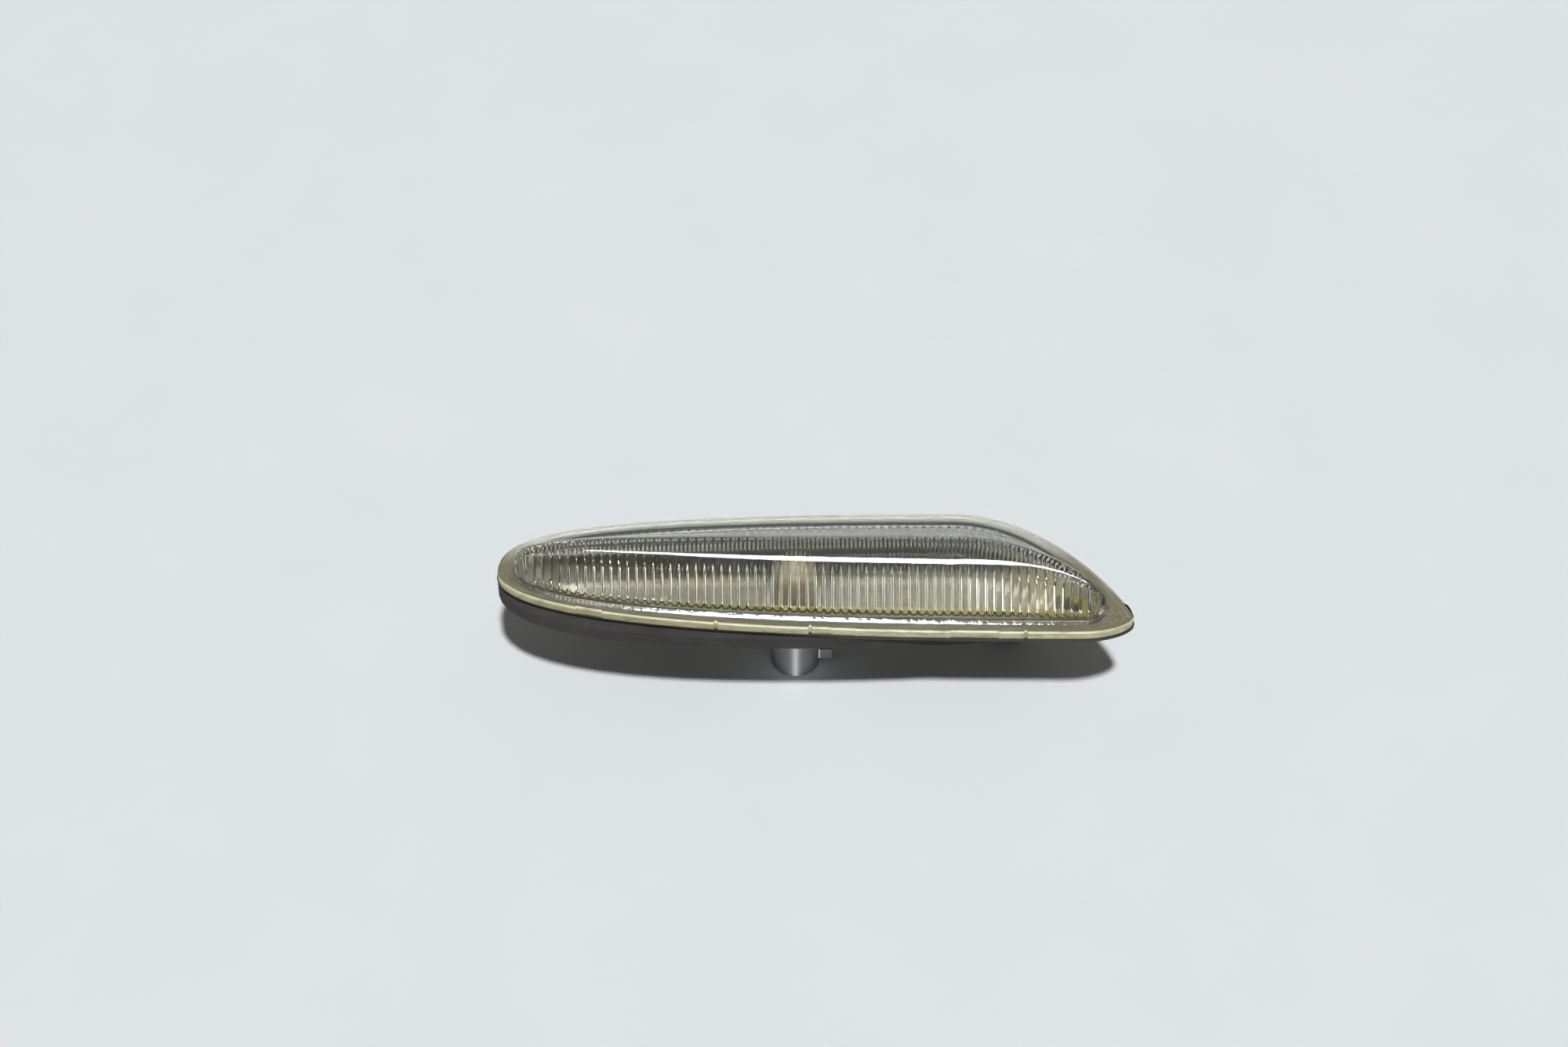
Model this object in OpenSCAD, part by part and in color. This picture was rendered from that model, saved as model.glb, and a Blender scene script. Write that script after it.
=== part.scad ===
// Side repeater lamp for a car's front wing.
// The lens faces +Z, the length runs along X with the pointed tip at +X.
// The origin is under the middle of the lamp, on the surface that it lies on.

/* [Outline] */
// Overall length of the lamp at its rim
body_l = 130; // [110:1:150]
// Overall width of the lamp at its rim
body_w = 33; // [30:0.5:38]
// Height of the rounded nose's end above the middle line
nose_y = 0.4; // [-2:0.1:3]
// Height of the pointed tip's end, below the middle line
tip_y = -12; // [-13:0.1:-9]
// Place along the length where the upper edge is highest
crest_x = 28.8; // [20:0.2:34]
// Place along the length where the lower edge is lowest
keel_x = 54; // [50:0.5:56]

/* [Lens] */
// Distance that the rim of the housing stands out past the lens
rim_proud = 0.25; // [0.1:0.05:0.6]
// Thickness of the lens flange
flange_t = 1.8; // [1.2:0.1:2.6]
// Width of the flange beside the dome
flange_w = 2.9; // [2.4:0.1:3.6]
// Width of the flange at the rounded nose
flange_nose = 3.4; // [2.6:0.1:4.5]
// Width of the flange at the pointed tip
flange_tip = 5.6; // [4:0.1:7]
// Height of the dome over the flange
dome_h = 8.4; // [6:0.2:10]
// Height of the upright step at the foot of the dome
foot_step = 0.4; // [0.2:0.05:0.8]
// Half width of the dome's flat crown, as a share of its half width
crown_share = 0.2; // [0.1:0.01:0.35]
// Rounding between the crown and the flanks, as a share of the half width
crown_soft = 0.12; // [0.06:0.01:0.2]
// Wall of the dome at the valleys between its flutes
lens_wall = 1.8; // [1.4:0.1:2.4]
// Distance from one flute to the next
flute_pitch = 1.73; // [1.6:0.01:2.4]
// Depth of the flutes inside the dome
flute_depth = 0.55; // [0.3:0.05:0.8]

/* [Housing] */
// Thickness of the housing's rim
rim_t = 0.7; // [0.5:0.1:1.5]
// Wall of the tub
tub_wall = 1.2; // [1:0.1:1.6]
// Depth of the tub below its rim
tub_depth = 9; // [8:0.5:10]
// Distance of the tub's mouth from the edge of the rim
tub_inset = 6.2; // [5.8:0.1:7]
// Slope of the tub, as the extra inset at its floor
tub_taper = 3.4; // [2:0.1:4]
// Length of the boss around the bulb holder
boss_len = 1.6; // [1.2:0.1:2.4]
// Wall of that boss
boss_wall = 2.1; // [1.8:0.1:2.5]

/* [Gasket] */
// Thickness of the foam gasket
gasket_t = 3; // [2:0.1:4]
// Distance of the gasket from the edge of the rim
gasket_inset = 0.8; // [0.5:0.1:1.5]
// Distance of the gasket from the rim at the nose
gasket_nose = 0.1; // [0:0.05:0.5]
// Distance of the gasket from the rim at the tip
gasket_tip = 5; // [4:0.1:6]
// Place along the length where the gasket's lower edge starts to draw back
gasket_keel = -5; // [-15:1:5]
// Least width of the gasket round the tub
gasket_band = 1.4; // [1:0.1:2]
// Thickness of the wing panel that the hook and clip take hold of
panel_t = 0.9; // [0.7:0.1:1.2]

/* [Hook] */
// Width of the fixed hook at the nose
hook_w = 8; // [6:0.5:10]
// Reach of the hook's lip past the tub
hook_reach = 3.2; // [2.4:0.1:4]
// Depth of the lip at its root
hook_lip = 1.8; // [1.2:0.1:2.4]

/* [Reflector] */
// Wall of the reflector
reflector_wall = 1; // [0.8:0.1:1.4]
// Thickness of the reflector's brim on the rim
brim_t = 0.4; // [0.3:0.1:0.8]

/* [Bulb and holder] */
// Place of the bulb's axis along the length
bulb_x = -3.7; // [-12:0.1:6]
// Radius of the holder's body in its bore
holder_r = 6.4; // [6.2:0.1:7]
// Radial reach of the holder's locking wings
wing_reach = 1.3; // [1:0.1:1.5]
// Radius of the holder's flange
holder_flange_r = 7.9; // [7.8:0.1:9]
// Thickness of the holder's flange
holder_flange_t = 1; // [0.8:0.1:1.6]
// Outer radius of the plug collar
collar_r = 5.1; // [5:0.05:5.5]
// Wall of the plug collar
collar_wall = 0.9; // [0.7:0.05:1.1]
// Length of the plug collar behind the holder's flange
collar_len = 12.8; // [11:0.1:16]
// Web between the plug socket and the bulb
web_t = 2; // [1.5:0.1:2.5]
// Depth of the plug socket in the collar
plug_depth = 6.2; // [5:0.1:7]
// Rounding of the collar's end
collar_round = 0.6; // [0.3:0.05:0.8]
// Reach of the locking lug beside the collar
lug_reach = 2.5; // [1.5:0.1:3]
// Width of that lug
lug_w = 2; // [1.5:0.1:3]
// Height of that lug
lug_h = 2.8; // [2:0.1:4]
// Distance of the lug from the collar's end
lug_low = 1.6; // [1:0.1:3]
// Thickness of the rubber ring under the boss
seal_t = 0.8; // [0.6:0.1:1.5]
// Radius of the bulb's glass
glass_r = 4.6; // [4:0.1:4.9]
// Room between the bulb and the inside of the lens
bulb_room = 1.05; // [0.8:0.05:2]
// Thickness of the bulb's flat base
wedge_t = 2.3; // [2:0.1:2.5]
// Width of the bulb's flat base
wedge_w = 8; // [7:0.1:8.2]
// Length of the bulb's flat base
wedge_len = 7.6; // [7:0.1:8.5]
// Thickness of the contact strips
contact_t = 0.5; // [0.4:0.05:0.6]
// Width of the contact strips
contact_w = 2.6; // [2:0.1:3]

/* [Spring clip] */
// Thickness of the clip's strip
clip_t = 0.7; // [0.5:0.1:0.9]
// Width of the clip's strip
clip_w = 7; // [5:0.5:9]
// Inner radius of the clip's bend
clip_bend = 1.9; // [1.5:0.1:2.4]
// Place of the clip on the upper flank, as a share of the curve from its crest to the tip
clip_at = 0.27; // [0.2:0.01:0.4]
// Distance of the clip's straight leg inside the tub's mouth
clip_inset = 2.4; // [2.2:0.1:2.8]

/* [Hidden] */

// Clearance between pieces that slide into each other
fit = 0.15;
// Clearance round the reflector, and of the gasket from the tub
gap = 0.25;
gasket_gap = 0.6;
// Distance that a cut runs past the face it opens
over = 1;
// Samples along each of the four curves of an outline
steps = 12;
eps = 0.01;
// Sides of the round pieces
round_fn = 96;

// Handles of the four curves of the outline: upright ones as lengths, level ones as shares
nose_up = 9.5;
crest_back = 0.9;
crest_fwd = 0.6;
tip_up = 2.2;
tip_down = 2.2;
keel_fwd = 0.54;
keel_back = 0.84;
nose_down = 7.8;
// Share of the tip's inset by which its end moves towards the middle line
tip_shift = 0.42;
// Least length of the two curves that end at the tip
crest_room = 8;
keel_room = 4;
// Extra inset of the tub at the tip
tub_tip = 2;

// Levels, from the plug collar's end upwards
flange_low = collar_len;
flange_high = flange_low + holder_flange_t;
boss_low = flange_high + seal_t;
tub_low = boss_low + boss_len;
tub_floor = tub_low + tub_wall;
rim_low = tub_low + tub_depth;
rim_top = rim_low + rim_t;
lens_top = rim_top + flange_t;
seat = rim_low - gasket_t;
wing_t = 1.2;
wing_play = 0.05;
reflector_low = tub_floor + wing_play + wing_t + 0.35;
bore_r = holder_r + fit;
boss_r = bore_r + boss_wall;
wings = 3;
wing_w = 3;
wing_turn = 90;
slot_turn = 30;
holder_top = reflector_low + reflector_wall + 0.4;
collar_draft = 0.15;
wire_d = 0.35;
bulb_low = plug_depth + web_t + wire_d + fit;
glass_low = bulb_low + wedge_len;
inner_rise = dome_h - lens_wall;
bulb_len = lens_top + inner_rise - flute_depth - bulb_room - bulb_low;
well_x = wedge_t / 2 + wire_d + contact_t + fit;
blade_x = 2.6;
blade_low = 1.2;

// An outline inside the rim: four cubic curves, through the nose, the crest, the tip and the keel
function loop(nose, side, tip, keel = keel_x) =
    let (xl = -body_l / 2 + nose,
         xr = body_l / 2 - tip,
         yt = body_w / 2 - side,
         yb = -body_w / 2 + side,
         yr = tip_y + tip * tip_shift,
         g = (yt - yb) / body_w,
         c = min(crest_x, xr - crest_room),
         k = min(keel, xr - keel_room))
    [[[xl, nose_y], [xl, nose_y + nose_up * g], [c - crest_back * (c - xl), yt], [c, yt]],
     [[c, yt], [c + crest_fwd * (xr - c), yt], [xr, yr + tip_up], [xr, yr]],
     [[xr, yr], [xr, yr - tip_down], [k + keel_fwd * (xr - k), yb], [k, yb]],
     [[k, yb], [k - keel_back * (k - xl), yb], [xl, nose_y - nose_down * g], [xl, nose_y]]];

// A point of a cubic curve
function on_curve(c, t) =
    pow(1 - t, 3) * c[0] + 3 * pow(1 - t, 2) * t * c[1]
    + 3 * (1 - t) * t * t * c[2] + pow(t, 3) * c[3];

// The outline as a ring of points
function ring(curves) =
    [for (c = curves) for (i = [0 : steps - 1]) on_curve(c, i / steps)];

// The parameter at which a curve passes a given x, by halving the interval
function at_x(c, x, lo, hi, n) =
    n == 0 ? (lo + hi) / 2 :
    let (mid = (lo + hi) / 2,
         rising = c[3][0] > c[0][0],
         below = on_curve(c, mid)[0] < x)
    below == rising ? at_x(c, x, mid, hi, n - 1) : at_x(c, x, lo, mid, n - 1);

// The upper and the lower edge of an outline at a given x
function far_y(curves, x) =
    let (c = x < curves[0][3][0] ? curves[0] : curves[1])
    on_curve(c, at_x(c, x, 0, 1, 14))[1];
function near_y(curves, x) =
    let (c = x > curves[2][3][0] ? curves[2] : curves[3])
    on_curve(c, at_x(c, x, 0, 1, 14))[1];

// A flat plate of a given outline
module plate(curves, z0, z1) {
    translate([0, 0, z0])
        linear_extrude(z1 - z0)
            polygon(ring(curves));
}

// A tapered block between two outlines
module tapered(low_curves, z0, high_curves, z1) {
    hull() {
        plate(low_curves, z0, z0 + eps);
        plate(high_curves, z1 - eps, z1);
    }
}

// Outlines of the dome's foot, at a distance inside it, and of the tub's outer wall
function foot_inside(d) =
    loop(rim_proud + flange_nose + d, rim_proud + flange_w + d, rim_proud + flange_tip + d);
function tub_outline(d, tip = 0) = loop(tub_inset + d, tub_inset + d, tub_inset + tub_tip + d + tip);
dome_foot = foot_inside(0);
tub_mouth = tub_outline(0);

// Outline of the tub's inner wall at a height z, or of what stands off it by a gap
cut_top = rim_top + over;
function tub_inside(z, gap) =
    let (slope = tub_taper * (cut_top - z) / (cut_top - tub_floor),
         d = tub_inset + tub_wall + gap + slope)
    loop(d, d, d + tub_tip + slope);

// Dome of the lens, with upright flutes on its inner face
dome_x0 = -body_l / 2 + rim_proud + flange_nose;
dome_x1 = body_l / 2 - rim_proud - flange_tip;
dome_mid = (far_y(dome_foot, crest_x) - near_y(dome_foot, crest_x)) / 2;
flutes = floor((dome_x1 - dome_x0 - 2 * lens_wall) / flute_pitch);
across = 10;
// Least half width and height of a section
least = 0.2;

// Relative height of the dome at a station of a given half width
function crown(half) = sqrt(max(0, 1 - pow(1 - min(1, half / dome_mid), 2)));

// Relative height of a section at a share u of its half width: flat crown, soft shoulder, even flank
function ramp(u) = (sqrt(pow(u - crown_share, 2) + pow(crown_soft, 2)) + u - crown_share) / 2;
function profile(u) = 1 - (ramp(abs(u)) - ramp(0)) / (ramp(1) - ramp(0));

// Section of the dome at one station, from the near foot over the crown to the far foot
function section(x, inset, rise) =
    let (n = near_y(dome_foot, x) + inset,
         f = far_y(dome_foot, x) - inset,
         m = (n + f) / 2,
         half = max(least, (f - n) / 2),
         low = lens_top + foot_step * min(1, crown(half) + least),
         h = max(least, rise * crown(half) - foot_step))
    concat([[x, m - half, rim_top]],
           [for (i = [0 : across]) let (u = 1 - 2 * i / across)
               [x, m - half * u, low + h * profile(u)]],
           [[x, m + half, rim_top]]);

// Stations: three to a flute, the first in the valley and the others on the crest
stations = [for (k = [0 : flutes - 1]) for (j = [0 : 2])
    [dome_x0 + lens_wall + (k + j / 3) * flute_pitch, j == 0 ? 0 : flute_depth]];

// Further stations of the smooth outer face round the two ends
ends = 4;
function end_station(edge, first, i) = edge + (first - edge) * pow((i + 0.3) / ends, 2);
last_x = stations[len(stations) - 1][0];
outer_x = concat([for (i = [0 : ends - 1]) end_station(dome_x0, stations[0][0], i)],
                 [for (s = stations) s[0]],
                 [for (i = [ends - 1 : -1 : 0]) end_station(dome_x1, last_x, i)]);

module dome() {
    outer = [for (x = outer_x) section(x, 0, dome_h)];
    inner = [for (s = stations) section(s[0], lens_wall, inner_rise - s[1])];
    row = across + 3;
    far = row - 1;
    no = len(outer);
    ni = len(inner);
    base = no * row;
    base_end = base + (ni - 1) * row;
    points = concat([for (s = outer) each s], [for (s = inner) each s]);
    outer_skin = [for (i = [0 : no - 2]) for (j = [0 : row - 2]) each
        [[i * row + j, i * row + j + 1, (i + 1) * row + j + 1],
         [i * row + j, (i + 1) * row + j + 1, (i + 1) * row + j]]];
    inner_skin = [for (i = [0 : ni - 2]) for (j = [0 : row - 2]) each
        [[base + i * row + j, base + (i + 1) * row + j + 1, base + i * row + j + 1],
         [base + i * row + j, base + (i + 1) * row + j, base + (i + 1) * row + j + 1]]];
    caps = [[for (j = [far : -1 : 0]) j],
            [for (j = [0 : far]) (no - 1) * row + j],
            [for (j = [0 : far]) base + j],
            [for (j = [far : -1 : 0]) base_end + j]];
    // foot of the dome between the two skins, along the sides and round the two ends
    sides = [for (i = [0 : ni - 2]) let (o = (i + ends) * row, b = base + i * row) each
        [[o, o + row, b + row], [o, b + row, b],
         [o + far, b + row + far, o + row + far], [o + far, b + far, b + row + far]]];
    nose = concat([[0, base, base + far], [0, base + far, far]],
                  [for (i = [0 : ends - 1]) each
                      [[i * row, (i + 1) * row, base],
                       [i * row + far, base + far, (i + 1) * row + far]]]);
    tip_row = (no - 1) * row;
    tip = concat([[tip_row, base_end + far, base_end], [tip_row, tip_row + far, base_end + far]],
                 [for (i = [0 : ends - 1]) let (o = tip_row - i * row) each
                     [[o, base_end, o - row],
                      [o + far, o - row + far, base_end + far]]]);
    polyhedron(points, concat(outer_skin, inner_skin, caps, sides, nose, tip));
}

module outer_lens() {
    color([0.86, 0.87, 0.84, 0.5]) {
        dome();
        difference() {
            plate(loop(rim_proud, rim_proud, rim_proud), rim_top, lens_top);
            plate(foot_inside(lens_wall / 2), rim_top - over, lens_top + over);
        }
    }
}

// Fixed hook at the nose, with its lip under the edge of the wing panel
hook_x = -body_l / 2 + tub_inset;
hook_root = 0.4;
hook_foot = 5;
lip_edge = 0.6;
module hook() {
    lip_top = seat - panel_t;
    translate([0, nose_y + hook_w / 2, 0])
        rotate([90, 0, 0])
            linear_extrude(hook_w)
                polygon([[hook_x + hook_root, rim_low + eps],
                         [hook_x + hook_root, lip_top],
                         [hook_x - hook_reach, lip_top],
                         [hook_x - hook_reach, lip_top - lip_edge],
                         [hook_x + hook_root, lip_top - hook_lip],
                         [hook_x + hook_foot, lip_top - hook_lip],
                         [hook_x + hook_foot, rim_low + eps]]);
}

// Tower beside the tub that holds the straight leg of the spring clip
tower_t = clip_t + 2 * fit + 2 * tub_wall;
tower_w = clip_w + 2 * fit + 2 * tub_wall;
tower_low = tub_low - 1.5;
slot_top = tub_low + 5;
clip_foot = on_curve(tub_mouth[1], clip_at);
clip_along = on_curve(tub_mouth[1], clip_at + eps) - clip_foot;
clip_turn = atan2(clip_along[0], -clip_along[1]);
module at_clip(z) {
    translate([clip_foot[0], clip_foot[1], z])
        rotate(clip_turn)
            translate([-clip_inset, 0, 0])
                children();
}
module at_bulb(z = 0) {
    translate([bulb_x, 0, z])
        children();
}

// Radial bars around the bulb's axis, such as wings or the slots for them
module bars(reach, w, h, turn) {
    for (i = [0 : wings - 1])
        rotate(turn + i * 360 / wings)
            translate([0, -w / 2, 0])
                cube([reach, w, h]);
}

// Rim plate and tub, with the boss for the holder, the hook and the clip's tower
module housing() {
    wing_room = holder_r + wing_reach + fit;
    bore_h = tub_floor - boss_low + 2 * over;
    color([0.07, 0.07, 0.07])
        difference() {
            union() {
                plate(loop(0, 0, 0), rim_low, rim_top);
                tapered(tub_outline(tub_taper, tub_taper), tub_low, tub_mouth, rim_low + eps);
                at_bulb(boss_low)
                    cylinder(r = boss_r, h = boss_len + eps, $fn = round_fn);
                hook();
                at_clip(tower_low)
                    translate([-tower_t / 2, -tower_w / 2, 0])
                        cube([tower_t, tower_w, rim_low - tower_low + eps]);
            }
            tapered(tub_inside(tub_floor, 0), tub_floor, tub_inside(cut_top, 0), cut_top);
            at_bulb(boss_low - over)
                cylinder(r = bore_r, h = bore_h, $fn = round_fn);
            at_bulb(boss_low - over)
                bars(wing_room, wing_w + 2 * fit, bore_h, slot_turn);
            at_bulb(tub_floor)
                cylinder(r = wing_room, h = holder_top - tub_floor + fit, $fn = round_fn);
            at_clip(tower_low - over)
                translate([-clip_t / 2 - fit, -clip_w / 2 - fit, 0])
                    cube([clip_t + 2 * fit, clip_w + 2 * fit, slot_top - tower_low + over]);
        }
}

// Bright bowl inside the tub, with a brim on the rim inside the lens and a bore for the bulb
module reflector() {
    skin = gap + reflector_wall;
    brim_top = rim_top + brim_t;
    color([0.8, 0.8, 0.8])
        difference() {
            union() {
                tapered(tub_inside(reflector_low, gap), reflector_low,
                        tub_inside(rim_top, gap), rim_top + eps);
                plate(foot_inside(lens_wall + gap), rim_top, brim_top);
            }
            tapered(tub_inside(reflector_low, skin), reflector_low + reflector_wall,
                    tub_inside(cut_top, skin), cut_top);
            at_bulb(reflector_low - over)
                cylinder(r = holder_r + 2 * fit, h = reflector_wall + 2 * over, $fn = round_fn);
        }
}

// Foam ring between the rim and the wing panel, set back towards the tip
module flange_gasket() {
    color([0.22, 0.21, 0.2])
        difference() {
            union() {
                plate(loop(gasket_nose, gasket_inset, gasket_tip, gasket_keel), seat, rim_low);
                plate(tub_outline(-gasket_gap - gasket_band), seat, rim_low);
            }
            plate(tub_outline(-gasket_gap), seat - over, rim_low + over);
        }
}

// A straight round wire from p to q, with a round end at q
module wire(p, q, d) {
    v = q - p;
    translate(p)
        rotate([0, acos(v[2] / norm(v)), atan2(v[1], v[0])])
            cylinder(d = d, h = norm(v), $fn = 24);
    translate(q)
        sphere(d = d, $fn = 24);
}

// Lead wire on one side: from the filament down through the flat base, and back up its face
filament_drop = 0.3;
filament_z = bulb_low + bulb_len - glass_r - filament_drop;
filament_l = 5;
filament_d = 0.6;
wire_y = 0.8;
wire_knee = 2;
wire_end = 2;
module lead_wire(side) {
    foot_z = bulb_low - wire_d / 2 - eps;
    face_x = side * (wedge_t / 2 + wire_d / 2 + eps);
    top = [0, side * filament_l / 2, filament_z];
    knee = [0, side * wire_y, glass_low + wire_knee];
    foot = [0, side * wire_y, foot_z];
    wire(top, knee, wire_d);
    wire(knee, foot, wire_d);
    wire(foot, [face_x, side * wire_y, foot_z], wire_d);
    wire([face_x, side * wire_y, foot_z], [face_x, side * wire_y, glass_low - wire_end], wire_d);
}

module bulb_lead_wires() {
    color([0.75, 0.75, 0.72])
        at_bulb()
            for (side = [-1, 1])
                lead_wire(side);
}

module bulb_filament() {
    color([0.5, 0.5, 0.52])
        at_bulb(filament_z + (wire_d + filament_d) / 2)
            rotate([90, 0, 0])
                translate([0, 0, -filament_l / 2])
                    cylinder(d = filament_d, h = filament_l, $fn = 24);
}

// Glass envelope with its flat base
glass_wall = 0.7;
neck_in = 1.6;
neck_low = glass_low - 0.5;
shoulder_z = glass_low + 1.5;
function glass_arc(r, z) = [for (a = [0 : 9 : 90]) [r * cos(a), z + r * sin(a)]];
module bulb_glass() {
    crown_z = bulb_low + bulb_len - glass_r;
    hollow_low = shoulder_z + glass_wall;
    color([0.9, 0.45, 0.08, 0.7])
        at_bulb()
            difference() {
                union() {
                    translate([-wedge_t / 2, -wedge_w / 2, bulb_low])
                        cube([wedge_t, wedge_w, wedge_len + over]);
                    rotate_extrude($fn = round_fn)
                        polygon(concat([[0, neck_low], [glass_r - neck_in, neck_low], [glass_r, shoulder_z]],
                                       glass_arc(glass_r, crown_z)));
                }
                rotate_extrude($fn = round_fn)
                    polygon(concat([[0, hollow_low], [glass_r - glass_wall, hollow_low]],
                                   glass_arc(glass_r - glass_wall, crown_z)));
                for (side = [-1, 1])
                    lead_wire(side);
            }
}

// Profile of the holder: collar with a rounded end, flange and body
collar_end_r = collar_r - collar_draft - collar_round;
holder_profile = concat([[0, 0]],
    [for (a = [0 : 15 : 90]) [collar_end_r + collar_round * sin(a), collar_round * (1 - cos(a))]],
    [[collar_r, flange_low], [holder_flange_r, flange_low], [holder_flange_r, flange_high],
     [holder_r, flange_high], [holder_r, holder_top], [0, holder_top]]);

// Round holder with locking wings, plug collar and locking lug
module bulb_holder() {
    slot_in = wedge_t / 2 + wire_d;
    slot_l = blade_x - slot_in + contact_t + fit;
    color([0.45, 0.47, 0.49])
        at_bulb()
            difference() {
                union() {
                    rotate_extrude($fn = round_fn)
                        polygon(holder_profile);
                    translate([0, 0, tub_floor + wing_play])
                        bars(holder_r + wing_reach, wing_w, wing_t, wing_turn);
                    translate([0, -lug_w / 2, lug_low])
                        cube([collar_r + lug_reach, lug_w, lug_h]);
                }
                translate([0, 0, -over])
                    cylinder(r = collar_r - collar_wall, h = plug_depth + over, $fn = round_fn);
                translate([-well_x, -wedge_w / 2 - fit, plug_depth + web_t])
                    cube([2 * well_x, wedge_w + 2 * fit, holder_top]);
                translate([0, 0, neck_low])
                    cylinder(r = glass_r + fit, h = holder_top, $fn = round_fn);
                for (side = [0, 180])
                    rotate(side)
                        translate([slot_in, -contact_w / 2 - fit, plug_depth - over])
                            cube([slot_l, contact_w + 2 * fit, web_t + 2 * over]);
            }
}

// Rubber ring between the holder's flange and the boss
seal_in = 0.6;
seal_play = 0.05;
module holder_seal() {
    color([0.12, 0.12, 0.12])
        at_bulb(flange_high)
            difference() {
                cylinder(r = boss_r - seal_in, h = seal_t, $fn = round_fn);
                translate([0, 0, -over])
                    cylinder(r = holder_r + seal_play, h = seal_t + 2 * over, $fn = round_fn);
            }
}

// Contact strip: a blade in the plug socket, a step through the web and a spring up the bulb's base
spring_short = 1.5;
module contact() {
    in = wedge_t / 2 + wire_d + 2 * eps;
    step_z = plug_depth + web_t / 2;
    translate([0, contact_w / 2, 0])
        rotate([90, 0, 0])
            linear_extrude(contact_w)
                polygon([[blade_x, blade_low], [blade_x + contact_t, blade_low],
                         [blade_x + contact_t, step_z + contact_t], [in + contact_t, step_z + contact_t],
                         [in + contact_t, glass_low - spring_short], [in, glass_low - spring_short],
                         [in, step_z], [blade_x, step_z]]);
}
module contact_left() {
    color([0.72, 0.6, 0.35])
        at_bulb()
            rotate(180)
                contact();
}
module contact_right() {
    color([0.72, 0.6, 0.35])
        at_bulb()
            contact();
}

// Hairpin clip of sheet steel: straight leg in the tower, bend at the bottom, sprung leg outside
module strip(points, t) {
    for (i = [0 : len(points) - 2])
        hull() {
            translate(points[i])
                circle(d = t, $fn = 12);
            translate(points[i + 1])
                circle(d = t, $fn = 12);
        }
}
clip_out = 0.9;
clip_neck = 4;
clip_over = 0.4;
clip_back = 2.6;
clip_play = 0.5;
module spring_clip() {
    rc = clip_bend + clip_t / 2;
    cz = clip_bend + clip_t;
    bend = [for (a = [180 : 15 : 360]) [rc + rc * cos(a), cz + rc * sin(a)]];
    shoulder = seat - panel_t - clip_over;
    color([0.62, 0.63, 0.64])
        at_clip(0)
            translate([0, clip_w / 2, 0])
                rotate([90, 0, 0])
                    linear_extrude(clip_w)
                        strip(concat([[0, slot_top - clip_play]], bend,
                                     [[2 * rc + clip_out, shoulder - clip_neck],
                                      [2 * rc - clip_over / 2, shoulder],
                                      [clip_back, seat - clip_play]]), clip_t);
}

outer_lens();
housing();
reflector();
flange_gasket();
bulb_glass();
bulb_filament();
bulb_lead_wires();
bulb_holder();
holder_seal();
contact_left();
contact_right();
spring_clip();
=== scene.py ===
"""Looks of the side repeater lamp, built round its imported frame."""

import math

import bmesh
import bpy
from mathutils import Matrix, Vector


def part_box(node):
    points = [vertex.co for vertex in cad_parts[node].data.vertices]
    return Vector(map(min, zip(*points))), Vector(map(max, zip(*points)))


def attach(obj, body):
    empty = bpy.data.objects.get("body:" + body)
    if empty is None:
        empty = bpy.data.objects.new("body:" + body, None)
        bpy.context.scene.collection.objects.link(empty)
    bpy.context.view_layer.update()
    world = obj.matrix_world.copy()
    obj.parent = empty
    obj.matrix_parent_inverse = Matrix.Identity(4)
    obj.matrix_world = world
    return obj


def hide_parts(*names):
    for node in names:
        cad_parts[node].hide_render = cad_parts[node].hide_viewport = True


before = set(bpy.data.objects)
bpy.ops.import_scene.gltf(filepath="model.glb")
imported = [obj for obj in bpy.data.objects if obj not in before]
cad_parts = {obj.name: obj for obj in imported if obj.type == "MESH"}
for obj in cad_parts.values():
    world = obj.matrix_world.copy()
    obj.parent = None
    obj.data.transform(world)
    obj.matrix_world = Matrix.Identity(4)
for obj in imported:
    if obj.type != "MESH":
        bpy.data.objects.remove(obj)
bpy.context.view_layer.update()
MM = 0.001


# Sizes, in millimetres, from the frame's own boxes

def box_mm(node):
    """Lowest and highest corner of a node at rest, in millimetres."""
    low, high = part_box(node)
    return [v / MM for v in low], [v / MM for v in high]


HOUSING_LOW, HOUSING_HIGH = box_mm("housing")
LENS_LOW, LENS_HIGH = box_mm("outer_lens")
BODY_L = HOUSING_HIGH[0] - HOUSING_LOW[0]
BODY_W = HOUSING_HIGH[1] - HOUSING_LOW[1]
RIM_PROUD = HOUSING_HIGH[0] - LENS_HIGH[0]
RIM_TOP = LENS_LOW[2]
CROWN_TOP = LENS_HIGH[2]

# Outline, as the part's source has it
NOSE_Y = 0.4
TIP_Y = -12.0
CREST_X = 28.8
KEEL_X = 54.0
NOSE_UP = 9.5
NOSE_DOWN = 7.8
TIP_UP = 2.2
TIP_DOWN = 2.2
CREST_BACK = 0.9
CREST_FWD = 0.6
KEEL_FWD = 0.54
KEEL_BACK = 0.84
# Rise of the tip for each millimetre that an outline is drawn in there
TIP_RISE = 0.42
# Least distances of the crest and of the keel from the tip
CREST_CLEAR = 8
KEEL_CLEAR = 4
# Halvings in the search for a place on a curve
HALVINGS = 30

# Lens, as the part's source has it
FLANGE_T = 1.8
FLANGE_W = 2.9
FLANGE_NOSE = 3.4
FLANGE_TIP = 5.6
LENS_WALL = 1.8
FLUTE_PITCH = 1.73
FLUTE_DEPTH = 0.55
LENS_TOP = RIM_TOP + FLANGE_T
DOME_H = CROWN_TOP - LENS_TOP

# Camera: AIM_POINT, on the flange's face, is seen at AIM_PX in the photograph's frame.
# A pixel is MM_PER_PX wide there
PHOTO_W = 2000
PHOTO_H = 1335
AIM_PX = (1040.25, 735.0)
AIM_POINT = Vector((0.38, -1.05, LENS_TOP))
ELEVATION = math.radians(48)
FOCAL = 80.0
SENSOR = 36.0
MM_PER_PX = 0.1604


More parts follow.
